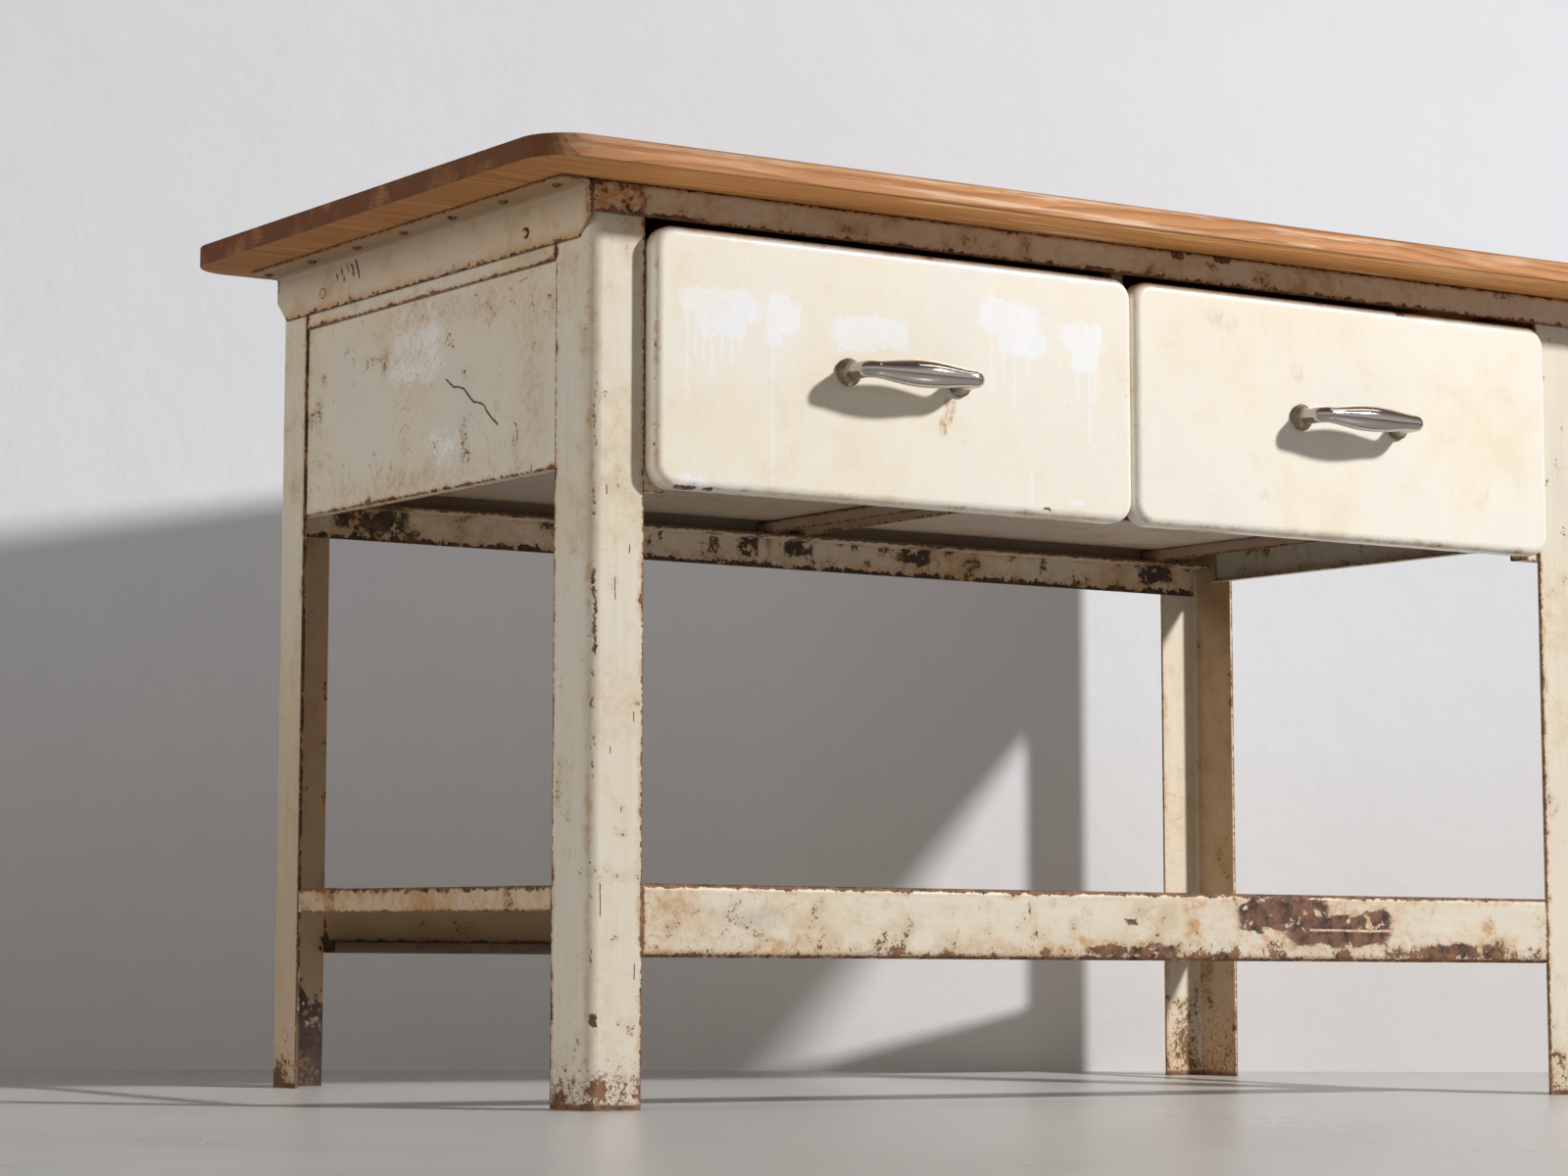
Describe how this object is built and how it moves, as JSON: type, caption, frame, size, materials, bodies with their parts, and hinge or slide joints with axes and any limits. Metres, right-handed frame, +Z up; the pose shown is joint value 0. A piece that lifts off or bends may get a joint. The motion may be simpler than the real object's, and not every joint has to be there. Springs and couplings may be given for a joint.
{
  "type": "work table",
  "caption": "Vintage work table: boarded pine top on a cream painted sheet-steel frame, with wide pressed steel drawers side by side under it and bow handles.",
  "frame": {"origin": "on the floor under the middle of the wooden top", "axes": "+X to the right along the length, +Y to the back, +Z up; the drawers open towards -Y"},
  "size_m": [1.32, 0.682, 0.8],
  "materials": {
    "frame_paint": "old cream brush paint, chipped, with rust",
    "drawer_enamel": "glossy cream enamel with touch-up marks",
    "inner_steel": "dull grey-brown sheet steel",
    "pine": "worn oiled pine boards",
    "screw_steel": "dull steel fasteners",
    "handle_chrome": "worn chrome, brassy at the posts"
  },
  "bodies": {
    "frame": {"leg_front_left": "frame_paint", "leg_front_right": "frame_paint", "leg_back_left": "frame_paint", "leg_back_right": "frame_paint", "rail_front": "frame_paint", "rail_back": "frame_paint", "lower_rail_front": "frame_paint", "lower_rail_back": "frame_paint", "lug_left": "frame_paint", "lug_right": "frame_paint", "panel_left": "frame_paint", "panel_right": "frame_paint", "strip_left": "frame_paint", "strip_right": "frame_paint", "apron_left": "frame_paint", "apron_right": "frame_paint", "stretcher_front": "frame_paint", "stretcher_back": "frame_paint", "stretcher_left": "frame_paint", "stretcher_right": "frame_paint", "rivets_left": "frame_paint", "rivets_right": "frame_paint", "panel_back": "inner_steel", "runner_left": "inner_steel", "runner_right": "inner_steel", "runner_middle": "inner_steel", "post_middle": "inner_steel", "top_board_1": "pine", "top_board_2": "pine", "top_board_3": "pine", "top_board_4": "pine", "top_board_5": "pine", "top_screws_left": "screw_steel", "top_screws_right": "screw_steel"},
    "drawer_left": {"drawer_front_left": "drawer_enamel", "drawer_tray_left": "inner_steel", "drawer_back_left": "inner_steel", "handle_left": "handle_chrome", "handle_screws_left": "screw_steel"},
    "drawer_right": {"drawer_front_right": "drawer_enamel", "drawer_tray_right": "inner_steel", "drawer_back_right": "inner_steel", "handle_right": "handle_chrome", "handle_screws_right": "screw_steel"}
  },
  "joints": [
    {"name": "drawer_left_slide", "type": "slide", "parent": "frame", "child": "drawer_left", "axis": [0, -1, 0], "range_m": [0, 0.4]},
    {"name": "drawer_right_slide", "type": "slide", "parent": "frame", "child": "drawer_right", "axis": [0, -1, 0], "range_m": [0, 0.4]}
  ]
}
